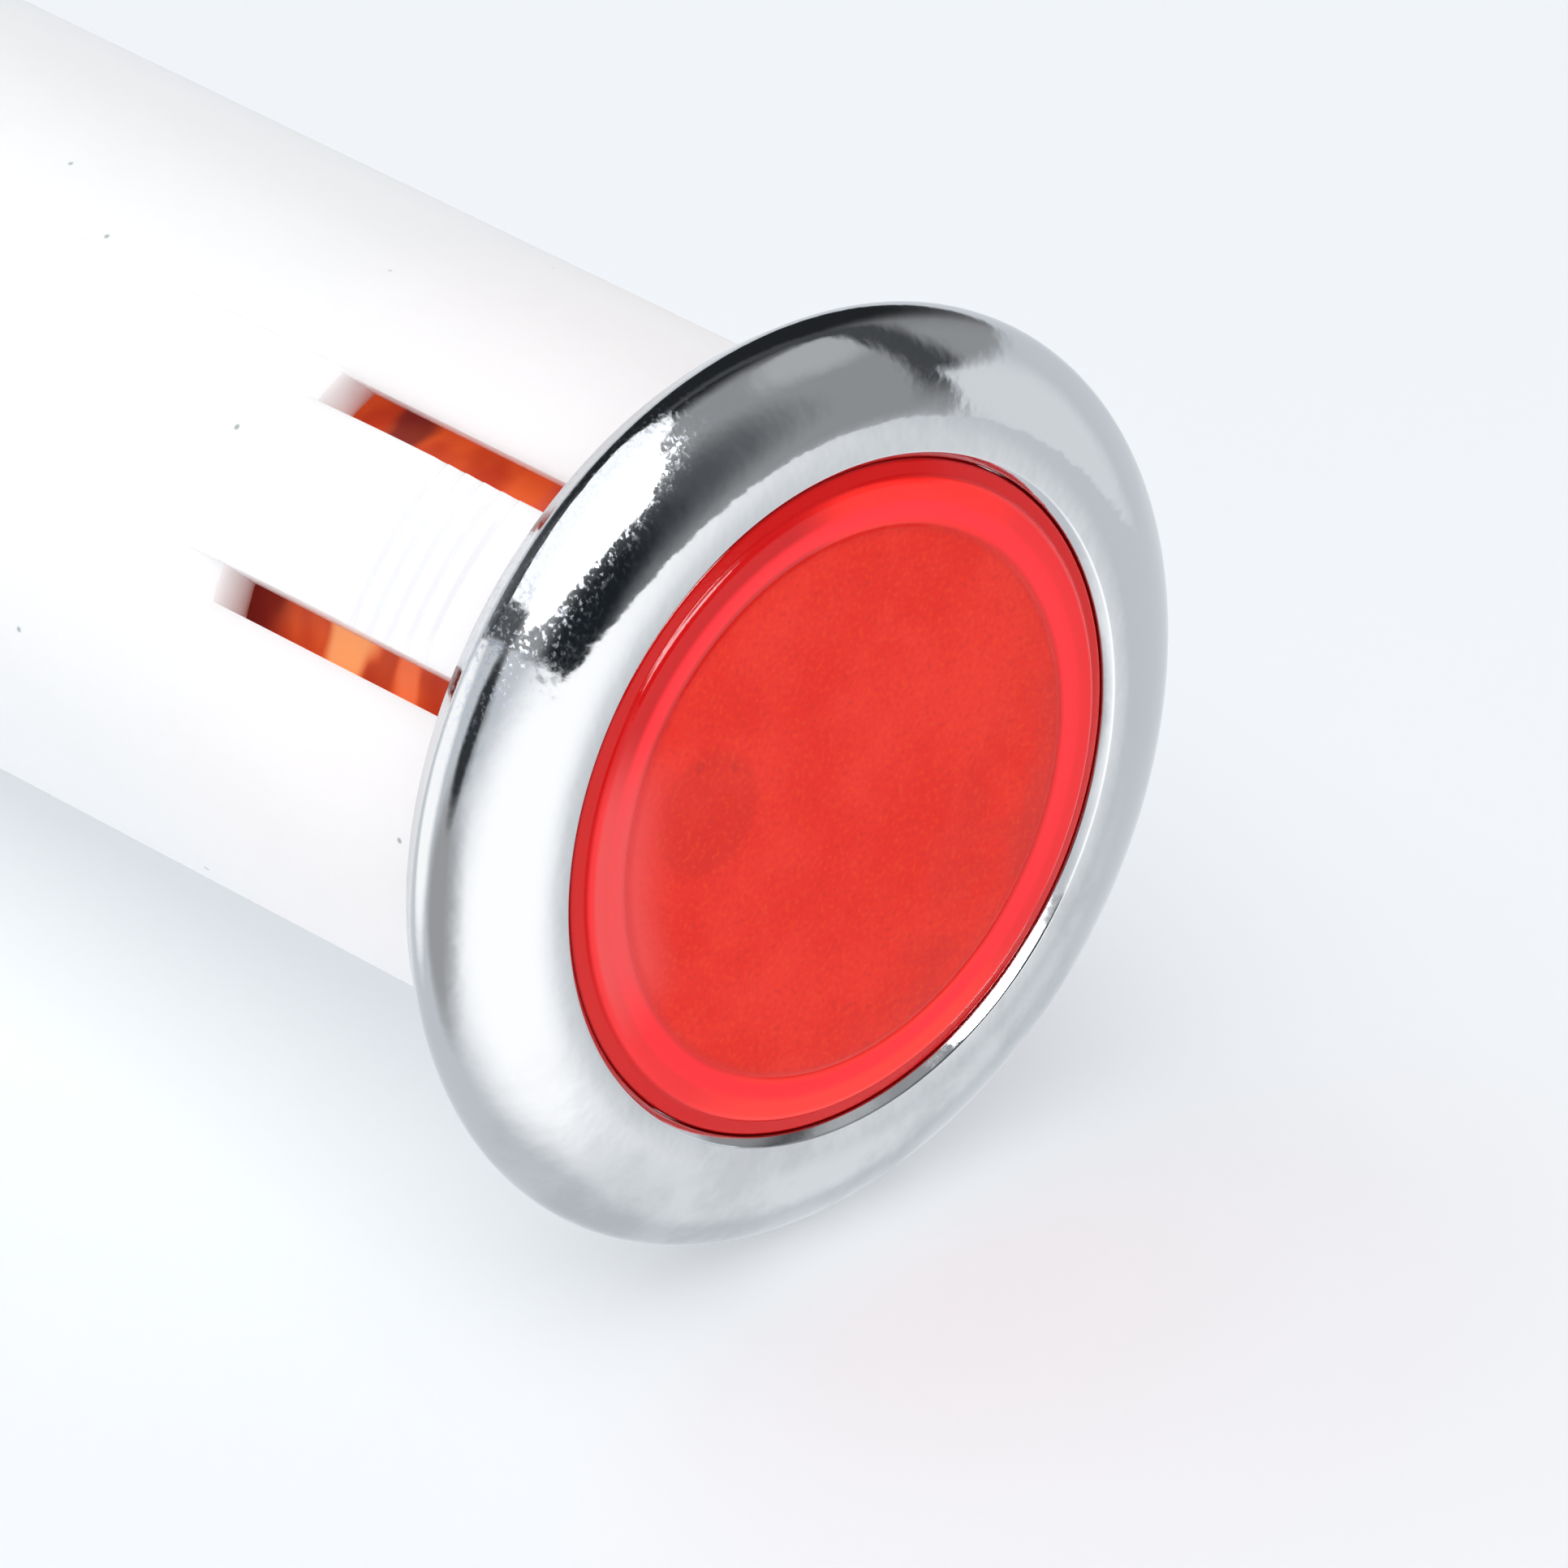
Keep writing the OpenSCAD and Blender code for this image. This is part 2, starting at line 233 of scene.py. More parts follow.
def combined(bm, cutter, operation):
    """bm after a boolean with cutter, both drawn in millimetres."""
    drafts = []
    for part in (bm, cutter):
        bmesh.ops.recalc_face_normals(part, faces=part.faces)
        drafts.append(add_object("draft", part))
    modifier = drafts[0].modifiers.new("cut", "BOOLEAN")
    modifier.operation = operation
    modifier.solver = "EXACT"
    modifier.object = drafts[1]
    graph = bpy.context.evaluated_depsgraph_get()
    result = bmesh.new()
    result.from_mesh(drafts[0].evaluated_get(graph).to_mesh())
    for obj in drafts:
        bpy.data.objects.remove(obj)
    return result


def soften(obj, width, limit="ANGLE"):
    """Small rounded edges, as a mould or a press leaves them: at sharp turns, or by edge weight."""
    modifier = obj.modifiers.new("edges", "BEVEL")
    modifier.width = width * MM
    modifier.segments = 2
    modifier.limit_method = limit
    modifier.angle_limit = math.radians(ROUNDED)
    modifier.harden_normals = True


# ---------------------------------------------------------------- node helpers
def new_material(name):
    material = bpy.data.materials.new(name)
    material.use_nodes = True
    tree = material.node_tree
    return material, tree, tree.nodes["Principled BSDF"]


def link(tree, out_socket, in_socket):
    tree.links.new(out_socket, in_socket)


def set_inputs(n, **inputs):
    """Sets a node's inputs by name, with spaces written as _."""
    for key, value in inputs.items():
        n.inputs[key.replace("_", " ")].default_value = value


def node(tree, kind, **inputs):
    n = tree.nodes.new(kind)
    set_inputs(n, **inputs)
    return n


def math_node(tree, operation, *values):
    """A math node on sockets and numbers."""
    n = tree.nodes.new("ShaderNodeMath")
    n.operation = operation
    for socket, value in zip(n.inputs, values):
        if isinstance(value, (int, float)):
            socket.default_value = value
        else:
            link(tree, value, socket)
    return n.outputs[0]


def times(tree, *values):
    product = values[0]
    for value in values[1:]:
        product = math_node(tree, "MULTIPLY", product, value)
    return product


def vector_node(tree, operation, vector, other, output):
    """A vector math node on a socket and a fixed vector."""
    n = tree.nodes.new("ShaderNodeVectorMath")
    n.operation = operation
    link(tree, vector, n.inputs[0])
    n.inputs[1].default_value = other
    return n.outputs[output]


def dot(tree, vector, direction):
    return vector_node(tree, "DOT_PRODUCT", vector, direction, "Value")


def stretched(tree, vector, scale):
    return vector_node(tree, "MULTIPLY", vector, scale, "Vector")


def split(tree, vector):
    n = tree.nodes.new("ShaderNodeSeparateXYZ")
    link(tree, vector, n.inputs[0])
    return n.outputs[0], n.outputs[1], n.outputs[2]


def remap(tree, value, low, high, to_low=0.0, to_high=1.0, kind="LINEAR"):
    """Carries low..high to to_low..to_high, held at both ends."""
    n = node(tree, "ShaderNodeMapRange", From_Min=low, From_Max=high, To_Min=to_low, To_Max=to_high)
    n.interpolation_type = kind
    link(tree, value, n.inputs["Value"])
    return n.outputs["Result"]


def smooth(tree, value, low, high, to_low=0.0, to_high=1.0):
    """A soft step from to_low at low to to_high at high."""
    return remap(tree, value, low, high, to_low, to_high, "SMOOTHSTEP")


def band(tree, value, rise, fall):
    """1 between two soft steps. Each is given as where it is 0 and where it reaches 1."""
    return times(tree, smooth(tree, value, *rise), smooth(tree, value, *fall))


def mix_color(tree, factor, a, b):
    """Colour a where factor is 0 and b where it is 1. A colour is a tuple or a socket."""
    n = tree.nodes.new("ShaderNodeMix")
    n.data_type = "RGBA"
    link(tree, factor, n.inputs[0])
    for socket, color in ((n.inputs[6], a), (n.inputs[7], b)):
        if isinstance(color, tuple):
            socket.default_value = (*color, 1.0)
        else:
            link(tree, color, socket)
    return n.outputs[2]


def mix_shader(tree, factor, a, b):
    n = tree.nodes.new("ShaderNodeMixShader")
    for socket, value in zip(n.inputs, (factor, a, b)):
        if isinstance(value, float):
            socket.default_value = value
        else:
            link(tree, value, socket)
    return n.outputs[0]


def bump(tree, height, distance, strength, normal=None):
    n = node(tree, "ShaderNodeBump", Strength=strength, Distance=distance * MM)
    link(tree, height, n.inputs["Height"])
    if normal is not None:
        link(tree, normal, n.inputs["Normal"])
    return n.outputs["Normal"]


def noise(tree, point, scale, detail=4.0, rough=0.5):
    n = node(tree, "ShaderNodeTexNoise", Scale=scale, Detail=detail, Roughness=rough)
    link(tree, point, n.inputs["Vector"])
    return n.outputs["Fac"]


def specks(tree, point, scale, size, share):
    """1 inside sparse small dots, else 0. share is the share of cells that hold one."""
    n = node(tree, "ShaderNodeTexVoronoi", Scale=scale)
    link(tree, point, n.inputs["Vector"])
    near = smooth(tree, n.outputs["Distance"], size * 0.4, size, 1.0, 0.0)
    cell_value = split(tree, n.outputs["Color"])[0]
    return times(tree, near, math_node(tree, "LESS_THAN", cell_value, share))


def object_mm(tree):
    """The point on the part, in millimetres."""
    coordinates = tree.nodes.new("ShaderNodeTexCoord")
    scale = tree.nodes.new("ShaderNodeVectorMath")
    scale.operation = "SCALE"
    scale.inputs["Scale"].default_value = 1 / MM
    link(tree, coordinates.outputs["Object"], scale.inputs[0])
    return scale.outputs["Vector"]


def finger_point(tree, point):
    """(across the finger, out along the finger, back along the barrel) in millimetres."""
    a = math.radians(FINGER_ANGLE)
    across = dot(tree, point, (-math.sin(a), 0, math.cos(a)))
    out = dot(tree, point, (math.cos(a), 0, math.sin(a)))
    return across, out, dot(tree, point, (0, 1, 0))


def radius(tree, x, z, centre=None):
    """Distance from the barrel's axis, or from a line beside it that passes through centre."""
    if centre is not None:
        x = math_node(tree, "SUBTRACT", x, centre[0])
        z = math_node(tree, "SUBTRACT", z, centre[1])
    return math_node(tree, "SQRT", math_node(tree, "ADD", times(tree, x, x), times(tree, z, z)))


def facing(tree, point, r, angle, inner, outer):
    """1 within inner degrees of an angle round the barrel, fading to 0 at outer degrees."""
    a = math.radians(angle)
    along = math_node(tree, "DIVIDE", dot(tree, point, (math.cos(a), 0, math.sin(a))), r)
    return smooth(tree, along, math.cos(math.radians(outer)), math.cos(math.radians(inner)))


# ---------------------------------------------------------------- materials
def chrome():
    """Bright plating, darker and rougher in soft patches towards the bottom, with fine worn flecks
    beside the first finger that carry a painted bluish reflection.
    """
    clear = (0.61, 0.62, 0.635)
    darker_low_tone = (0.52, 0.53, 0.545)
    painted_blue_fleck = (0.50, 0.56, 0.68)
    worn_direction = (-0.62, 0, 0.785)
    material, tree, shader = new_material("chrome_plate")
    point = object_mm(tree)
    height = split(tree, point)[2]
    soft_patch = noise(tree, point, 0.55, 5.0, 0.6)
    # Darker and rougher in soft patches towards the bottom
    cloud = times(tree, smooth(tree, height, 0.0, -7.0), smooth(tree, soft_patch, 0.42, 0.68))
    worn = smooth(tree, dot(tree, point, worn_direction), 7.2, 8.1)
    fine_noise = noise(tree, stretched(tree, point, (1.3, 1.0, 0.8)), 10.0, 2.0, 0.6)
    flecks = times(tree, smooth(tree, fine_noise, 0.48, 0.68), worn)
    tone = mix_color(tree, cloud, clear, darker_low_tone)
    # Painted reflection: the worn flecks are tinted blue, as the bluish room would show in them
    tone = mix_color(tree, times(tree, flecks, 0.5), tone, painted_blue_fleck)
    polish = remap(tree, noise(tree, point, 14.0, 2.0), 0.3, 0.7, 0.04, 0.09)
    rough = math_node(tree, "MULTIPLY_ADD", cloud, 0.14, polish)
    rough = math_node(tree, "MULTIPLY_ADD", flecks, 0.17, rough)
    ripple = bump(tree, noise(tree, point, 1.6, 2.0), 0.008, 1.0)
    peel = bump(tree, noise(tree, point, 6.0, 2.0), 0.0007, 1.0, ripple)
    set_inputs(shader, Metallic=1.0)
    link(tree, tone, shader.inputs["Base Color"])
    link(tree, rough, shader.inputs["Roughness"])
    link(tree, peel, shader.inputs["Normal"])
    return material


def ridge_grooves(tree, out, along):
    """1 in the grooves between the grip ridges of a finger, else 0."""
    shift = -RIDGES_START / RIDGE_PITCH
    turns = math_node(tree, "MULTIPLY_ADD", along, 1 / RIDGE_PITCH, shift)
    turn = math_node(tree, "FRACT", turns)
    return times(
        tree,
        band(tree, turn, (0.3, 0.5), (0.9, 0.7)),
        smooth(tree, along, RIDGES_START, RIDGES_START + 0.1),
        smooth(tree, along, CREST, CREST - 0.1),
        smooth(tree, out, BARREL_R, BARREL_R + 0.1),
    )


def witness_lines(tree, across, along):
    """1 on the lines that the mould's slides left, running back from the slots' outer edges."""
    slot_side = FINGER_W / 2 + SLOT_W
    from_middle = math_node(tree, "ABSOLUTE", across)
    from_line = math_node(tree, "SUBTRACT", from_middle, slot_side + WITNESS_OFFSET)
    line = smooth(tree, math_node(tree, "ABSOLUTE", from_line), 0.0, WITNESS_W, 1.0, 0.0)
    begins = smooth(tree, along, SLOT_END - 0.4, SLOT_END + 0.2)
    fades = smooth(tree, along, 21.0, 13.0)
    return times(tree, line, begins, fades)


def nylon():
    """White nylon that light soaks into, with a few dark specks and painted shade in the grooves
    between the grip ridges.
    """
    white = (0.92, 0.925, 0.935)
    whiter = (0.94, 0.945, 0.95)
    painted_ridge_shade = (0.72, 0.74, 0.76)
    speck = (0.42, 0.47, 0.46)
    soak = 0.9 * MM
    material, tree, shader = new_material("white_nylon")
    point = object_mm(tree)
    across, out, along = finger_point(tree, point)
    tone = mix_color(tree, smooth(tree, noise(tree, point, 0.35), 0.3, 0.7), white, whiter)
    # Painted shade in the grooves between the grip ridges
    tone = mix_color(tree, times(tree, ridge_grooves(tree, out, along), 0.45), tone, painted_ridge_shade)
    tone = mix_color(tree, specks(tree, point, 0.9, 0.07, 0.5), tone, speck)
    grain = noise(tree, point, 5.0)
    surface = bump(tree, grain, 0.003, 1.0)
    surface = bump(tree, witness_lines(tree, across, along), 0.012, 1.0, surface)
    set_inputs(shader, Subsurface_Weight=0.9, Subsurface_Radius=(soak, soak, soak))
    set_inputs(shader, Subsurface_Scale=1.0)
    link(tree, tone, shader.inputs["Base Color"])
    link(tree, remap(tree, grain, 0.3, 0.7, 0.34, 0.46), shader.inputs["Roughness"])
    link(tree, surface, shader.inputs["Normal"])
    return material


def frosted_disc(tree, point, x, z, grain):
    """Colour of the frosted disc: grain, painted shade in soft patches towards the lower right, and
    the painted shadow of the lamp behind it.
    """
    cloud = smooth(tree, noise(tree, point, 0.45, 5.0, 0.6), 0.35, 0.65)
    disc = mix_color(tree, cloud, (0.76, 0.014, 0.004), (0.82, 0.028, 0.014))
    # Painted shadow of the lamp behind the disc: a darker spot with a ring round it, and two dark
    # dots
    from_lamp = radius(tree, x, z, LAMP_SHADOW_SPOT)
    rim = band(tree, from_lamp, (0.75, 1.05), (1.3, 1.05))
    middle = smooth(tree, from_lamp, 1.25, 0.8, 0.0, 0.22)
    lamp_shadow = math_node(tree, "MULTIPLY_ADD", rim, 0.14, middle)
    for centre in LAMP_SHADOW_DOTS:
        dot_shadow = smooth(tree, radius(tree, x, z, centre), 0.22, 0.04, 0.0, 0.55)
        lamp_shadow = math_node(tree, "MAXIMUM", lamp_shadow, dot_shadow)
    disc = mix_color(tree, lamp_shadow, disc, (0.50, 0.016, 0.010))
    # Painted shade: the disc is darker in soft patches towards the lower right
    lower_right = smooth(tree, dot(tree, point, (0.75, 0, -0.66)), 1.5, 4.8)
    lower_right_shade = times(tree, lower_right, smooth(tree, noise(tree, point, 0.8), 0.4, 0.62), 0.5)
    disc = mix_color(tree, lower_right_shade, disc, (0.60, 0.022, 0.016))
    light_grain = smooth(tree, grain, 0.50, 0.72, 0.0, 0.45)
    dark_grain = smooth(tree, grain, 0.46, 0.30, 0.0, 0.45)
    disc = mix_color(tree, light_grain, disc, (0.82, 0.065, 0.012))
    return mix_color(tree, dark_grain, disc, (0.60, 0.020, 0.014))


def clear_rim(tree, point, r):
    """Colour of the lens outside its disc: painted light and shade that turn brighter and darker
    round it, a painted bright ring of light coming through, and painted shade on the ledge and at
    the edge.
    """
    edge = (0.82, 0.024, 0.028)
    # Painted light and shade round the lens: brighter towards the top and the bottom, darker at the
    # upper left
    for angle, inner, outer, color in (
        (72, 16, 34, (1.0, 0.026, 0.020)),
        (268, 20, 44, (1.0, 0.045, 0.034)),
        (122, 22, 38, (0.58, 0.008, 0.009)),
    ):
        edge = mix_color(tree, facing(tree, point, r, angle, inner, outer), edge, color)
    # Painted light: a bright ring just outside the disc, where light comes up through the lens
    ring = band(tree, r, (DISC_R + 0.02, DISC_R + 0.18), (DISC_R + 0.50, DISC_R + 0.32))
    # Painted shade on the ledge outside the step, darker still at the edge against the bezel
    ledge = smooth(tree, r, STEP_R + 0.03, STEP_R + 0.10)
    seam_shade = smooth(tree, r, LENS_R - 0.05, LENS_R - 0.01)
    edge = mix_color(tree, ring, edge, (1.0, 0.024, 0.034))
    edge = mix_color(tree, ledge, edge, (0.60, 0.006, 0.006))
    return mix_color(tree, seam_shade, edge, (0.30, 0.003, 0.004))


def lens_front(tree, point, x, z, r, grain):
    """Colour of the face: disc and rim, a painted reflection on one side and painted shade in the
    groove round the disc.
    """
    disc = frosted_disc(tree, point, x, z, grain)
    outside = smooth(tree, r, DISC_R - 0.06, DISC_R + 0.06)
    front = mix_color(tree, outside, disc, clear_rim(tree, point, r))
    # Painted reflection: a pale pinkish patch on the left side of the face
    soft_patch = times(
        tree,
        facing(tree, point, r, 176, 8, 34),
        smooth(tree, r, 3.9, 5.1),
        smooth(tree, r, STEP_R + 0.02, STEP_R - 0.10),
        0.75,
    )
    front = mix_color(tree, soft_patch, front, (0.80, 0.085, 0.085))
    # Painted shade in the groove round the disc
    groove = band(tree, r, (DISC_R - 0.20, DISC_R - 0.03), (DISC_R + 0.12, DISC_R))
    return mix_color(tree, times(tree, groove, 0.35), front, (0.55, 0.010, 0.012))


# Painted glints and painted shade on the skirt, as it shows in the slots: direction in degrees,
# distance behind the panel and half length in millimetres, colour, and how far the patch covers
SKIRT_GLINTS_AND_SHADE = (
    (111, 6.67, 0.5, (0.12, 0.016, 0.020), 0.75),
    (111, 3.0, 0.6, (0.62, 0.10, 0.06), 0.6),
    (158, 8.0, 1.3, (0.18, 0.010, 0.010), 0.9),
    (158, 5.36, 0.65, (1.0, 0.46, 0.18), 0.9),
    (158, 4.5, 0.4, (0.45, 0.05, 0.02), 0.7),
    (158, 3.85, 0.4, (1.0, 0.26, 0.10), 0.7),
)


def lens_skirt(tree, point, y, r):
    """Colour of the skirt, as if lit through the barrel, with painted glints and painted shade in
    patches.
    """
    bands = noise(tree, point, 0.8, 1.5)
    wavy = 1.2
    slanted = math_node(tree, "MULTIPLY_ADD", bands, wavy, y)
    broad = smooth(tree, bands, 0.34, 0.62)
    skirt = mix_color(tree, broad, (0.50, 0.050, 0.016), (0.72, 0.12, 0.030))
    # Painted shade and painted glints where the skirt shows in the slots
    for angle, back, half, color, share in SKIRT_GLINTS_AND_SHADE:
        offset = math_node(tree, "SUBTRACT", slanted, back + wavy / 2)
        near = smooth(tree, math_node(tree, "ABSOLUTE", offset), half, half * 0.4, 0.0, share)
        patch = times(tree, facing(tree, point, r, angle, 6, 20), near)
        skirt = mix_color(tree, patch, skirt, color)
    return skirt


def red_lens():
    """Red lens moulding, with a painted glow that stands in for light coming through it from its
    other side.
    """
    material, tree, shader = new_material("red_lens")
    point = object_mm(tree)
    x, y, z = split(tree, point)
    r = radius(tree, x, z)
    grain = noise(tree, point, 10.0, 3.0)
    on_skirt = smooth(tree, y, -0.9, -0.6)
    front = lens_front(tree, point, x, z, r, grain)
    shown = mix_color(tree, on_skirt, front, lens_skirt(tree, point, y, r))
    # Painted light: the lens glows, most on the skirt and outside the disc
    face_glow = smooth(tree, r, DISC_R - 0.05, DISC_R + 0.05, 0.03, 0.10)
    glow = math_node(tree, "MULTIPLY_ADD", on_skirt, 0.35, face_glow)
    hairs = noise(tree, stretched(tree, point, (1.0, 1.0, 6.0)), 3.0, 3.0)
    surface = bump(tree, hairs, 0.002, 0.5, bump(tree, grain, 0.004, 0.7))
    set_inputs(shader, Subsurface_Weight=0.35, Subsurface_Scale=1.0)
    set_inputs(shader, Subsurface_Radius=(0.8 * MM, 0.10 * MM, 0.08 * MM))
    set_inputs(shader, Specular_IOR_Level=0.2)
    link(tree, shown, shader.inputs["Base Color"])
    link(tree, shown, shader.inputs["Emission Color"])
    link(tree, glow, shader.inputs["Emission Strength"])
    link(tree, smooth(tree, r, DISC_R - 0.12, DISC_R, 0.5, 0.07), shader.inputs["Roughness"])
    link(tree, surface, shader.inputs["Normal"])
    return material


def metal(name, color, roughness):
    material, tree, shader = new_material(name)
    point = object_mm(tree)
    tone = noise(tree, point, 4.0)
    dark = tuple(c * 0.82 for c in color)
    rough = remap(tree, tone, 0.3, 0.7, roughness * 0.8, roughness * 1.3)
    set_inputs(shader, Metallic=1.0)
    link(tree, mix_color(tree, tone, dark, color), shader.inputs["Base Color"])
    link(tree, rough, shader.inputs["Roughness"])
    link(tree, bump(tree, noise(tree, point, 12.0, 3.0), 0.0015, 0.5), shader.inputs["Normal"])
    return material


def plastic(name, color, roughness, grain=3.0):
    material, tree, shader = new_material(name)
    point = object_mm(tree)
    dark = tuple(c * 0.88 for c in color)
    tone = mix_color(tree, noise(tree, point, grain), dark, color)
    texture = noise(tree, point, grain * 4, 3.0)
    set_inputs(shader, Roughness=roughness)
    link(tree, tone, shader.inputs["Base Color"])
    link(tree, bump(tree, texture, 0.005, 0.6), shader.inputs["Normal"])
    return material


def lamp_glass():
    material, tree, shader = new_material("lamp_glass")
    tone = noise(tree, object_mm(tree), 1.0, 3.0)
    glass = mix_color(tree, tone, (0.90, 0.94, 0.95), (0.96, 0.98, 0.98))
    set_inputs(shader, Roughness=0.02, Transmission_Weight=1.0, IOR=1.5)
    link(tree, glass, shader.inputs["Base Color"])
    return material


MATERIALS = {
    "chrome_plate": chrome(),
    "red_lens": red_lens(),
    "white_nylon": nylon(),
    "base_nylon": plastic("base_nylon", (0.88, 0.88, 0.86), 0.42),
    "tinned_brass": metal("tinned_brass", (0.78, 0.77, 0.74), 0.3),
    "lamp_glass": lamp_glass(),
    "nickel": metal("nickel", (0.55, 0.54, 0.52), 0.4),
    "dumet_wire": metal("dumet_wire", (0.75, 0.48, 0.34), 0.35),
    "fibre_sleeve": plastic("fibre_sleeve", (0.82, 0.74, 0.52), 0.6, 8.0),
    "solder": metal("solder", (0.66, 0.67, 0.68), 0.38),
    "resistor_coating": plastic("resistor_coating", (0.62, 0.42, 0.24), 0.4),
    "resistor_cap": plastic("resistor_cap", (0.60, 0.40, 0.23), 0.4),
    "tinned_wire": metal("tinned_wire", (0.78, 0.78, 0.77), 0.3),
}

SLOTS = {entry["node"]: entry["material_slot"] for entry in frame["record"]["subparts"]}


def paint(obj, slot):
    obj.data.materials.clear()
    obj.data.materials.append(MATERIALS[slot])


def finish_piece(obj, cad_node):
    """A new piece that stands for a CAD node: it takes its slot and rides on the part."""
    slot = SLOTS[cad_node]
    paint(obj, slot)
    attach(obj, "root")
    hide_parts(cad_node)


for name, obj in frame["nodes"].items():
    paint(obj, SLOTS[name])


# ---------------------------------------------------------------- bezel
def bezel_profile():
    """(radius, z) outline of the chrome ring, z running back from the panel seat."""
    lip_r = LENS_R + PRESS
    rim_x = BEZEL_R - RIM_R
    rim_z = -RIM_R - RIM_STAND
    crest_x = lip_r + LIP
    # The rim's arc runs on into the dome's, which reaches the crest level
    rise = math.degrees(math.atan2(BEZEL_H + rim_z - RIM_R, rim_x - crest_x))
    turn = 90 - 2 * rise
    reach = (rim_x - crest_x) / math.cos(math.radians(turn))
    dome_z = rim_z + reach * math.sin(math.radians(turn))
    points = [(FLANGE_R + GAP, 0.0), (BEZEL_R - (RIM_R + RIM_STAND) / 2, 0.0)]
    points += arc(rim_x, rim_z, RIM_R, 40, -turn, 24)
    points += arc(crest_x, dome_z, reach + RIM_R, -turn, -90, 24)[1:]
    points += arc(lip_r + LIP_BEVEL, -BEZEL_H + LIP_EDGE_R, LIP_EDGE_R, -90, -135, 5)
    points += arc(lip_r + LIP_EDGE_R, -BEZEL_H + LIP_BEVEL, LIP_EDGE_R, -135, -180, 5)
    points += [(lip_r, WEB_FRONT), (SKIRT_R + GAP, WEB_FRONT)]
    points += [(SKIRT_R + GAP, WEB_FRONT + WEB_T), (FLANGE_R + GAP, WEB_FRONT + WEB_T)]
    return points


bezel = add_piece("bezel_ring", lathe_bmesh(bezel_profile()), to_panel())
finish_piece(bezel, "bezel")


# ---------------------------------------------------------------- lens
def lens_profile():
    """(radius, z) outline of the lens: frosted disc, fine groove, stepped edge and skirt."""
    face = -FACE_H
    back = face + FACE_T
    inner = SKIRT_R - SKIRT_WALL
    seat = WEB_FRONT - PRESS
    tilt = math.radians(STEP_TILT)
    points = [(0, face)] + [(DISC_R * i / 6, face) for i in range(1, 6)]
    points += [(DISC_R + out, face + down) for out, down in DISC_GROOVE]
    points.append((STEP_R - STEP_LEAD, face + STEP_DROP))
    for r, tilt_0, tilt_1 in STEP_BENDS:
        bend(points, r, tilt_0, tilt_1)
    ledge = LENS_R - LENS_EDGE_R * (1 - math.sin(tilt))
    points.append((ledge, points[-1][1] + (ledge - points[-1][0]) * math.tan(tilt)))
    bend(points, LENS_EDGE_R, STEP_TILT, 90)
    points += [(LENS_R, seat - LENS_BACK_EDGE), (LENS_R - LENS_BACK_EDGE, seat), (SKIRT_R, seat)]
    points += [(SKIRT_R, SKIRT_END * i / 6) for i in range(6)]
    points += [(SKIRT_R, SKIRT_END - SKIRT_EDGE), (SKIRT_R - SKIRT_EDGE, SKIRT_END)]
    points += [(inner + SKIRT_EDGE, SKIRT_END), (inner, SKIRT_END - SKIRT_EDGE)]
    points += [(inner, back + SKIRT_ROOT), (inner - SKIRT_ROOT, back), (0, back)]
    return points


lens = add_piece("lens_moulding", lathe_bmesh(lens_profile(), closed=False), to_panel())
finish_piece(lens, "lens")


# ---------------------------------------------------------------- housing
def finger_profile():
    """(radius, z) outline of a snap finger: grip ridges, crest and the ramp into the barrel."""
    start = SLOT_START + SLOT_W
    foot = BARREL_R + FINGER_RISE * FOOT_SHARE
    crest_r = BARREL_R + FINGER_RISE
    slope = (crest_r - foot) / (CREST - start)
    points = [(BORE_R, start), (foot, start)]
    for i in range(RIDGES):
        for share, drop in RIDGE_SHAPE:
            z = RIDGES_START + (i + share) * RIDGE_PITCH
            points.append((foot + slope * (z - start) - drop, z))
    points += [(crest_r, CREST), (crest_r, CREST + CREST_FLAT)]
    ramp_drop = BARREL_R - OVERLAP - crest_r
    ramp_l = RAMP_END - CREST - CREST_FLAT
    for i in range(1, RAMP_STEPS + 1):
        t = i / RAMP_STEPS
        fallen = 0.5 - 0.5 * math.cos(math.pi * t)
        points.append((crest_r + ramp_drop * fallen, CREST + CREST_FLAT + ramp_l * t))
    points.append((BORE_R, RAMP_END))
    return points


def barrel_profile():
    """(radius, z) outline of the barrel with its flange and the collar for the lens."""
    collar = SKIRT_R + PRESS
    flange = FLANGE_R - FLANGE_EDGE
    middle = (RAMP_END + BARREL_L) / 2
    return [
        (collar, FLANGE_FRONT),
        (flange, FLANGE_FRONT),
        (FLANGE_R, FLANGE_FRONT + FLANGE_EDGE),
        (FLANGE_R, -GAP - FLANGE_EDGE),
        (flange, -GAP),
        (BARREL_R + FLANGE_ROOT, -GAP),
        (BARREL_R, -GAP + FLANGE_ROOT),
        *((BARREL_R, z) for z in (SLOT_START, SLOT_END, RAMP_END, middle, BARREL_L)),
        *((BORE_R, z) for z in (BARREL_L, RAMP_END, COLLAR_END)),
        (collar, COLLAR_END),
    ]


def finger_cuts(reach):
    """The slots beside the fingers, then the slot across their free ends."""
    half = FINGER_W / 2
    beside = []
    for side in (-1, 1):
        middle = side * (half + SLOT_W / 2)
        low = (-reach, middle - SLOT_W / 2, SLOT_START)
        beside.append((low, (reach, middle + SLOT_W / 2, SLOT_END)))
    low = (-reach, -half - OVERLAP, SLOT_START)
    across = (low, (reach, half + OVERLAP, SLOT_START + SLOT_W))
    return boxes_bmesh(*beside), boxes_bmesh(across)


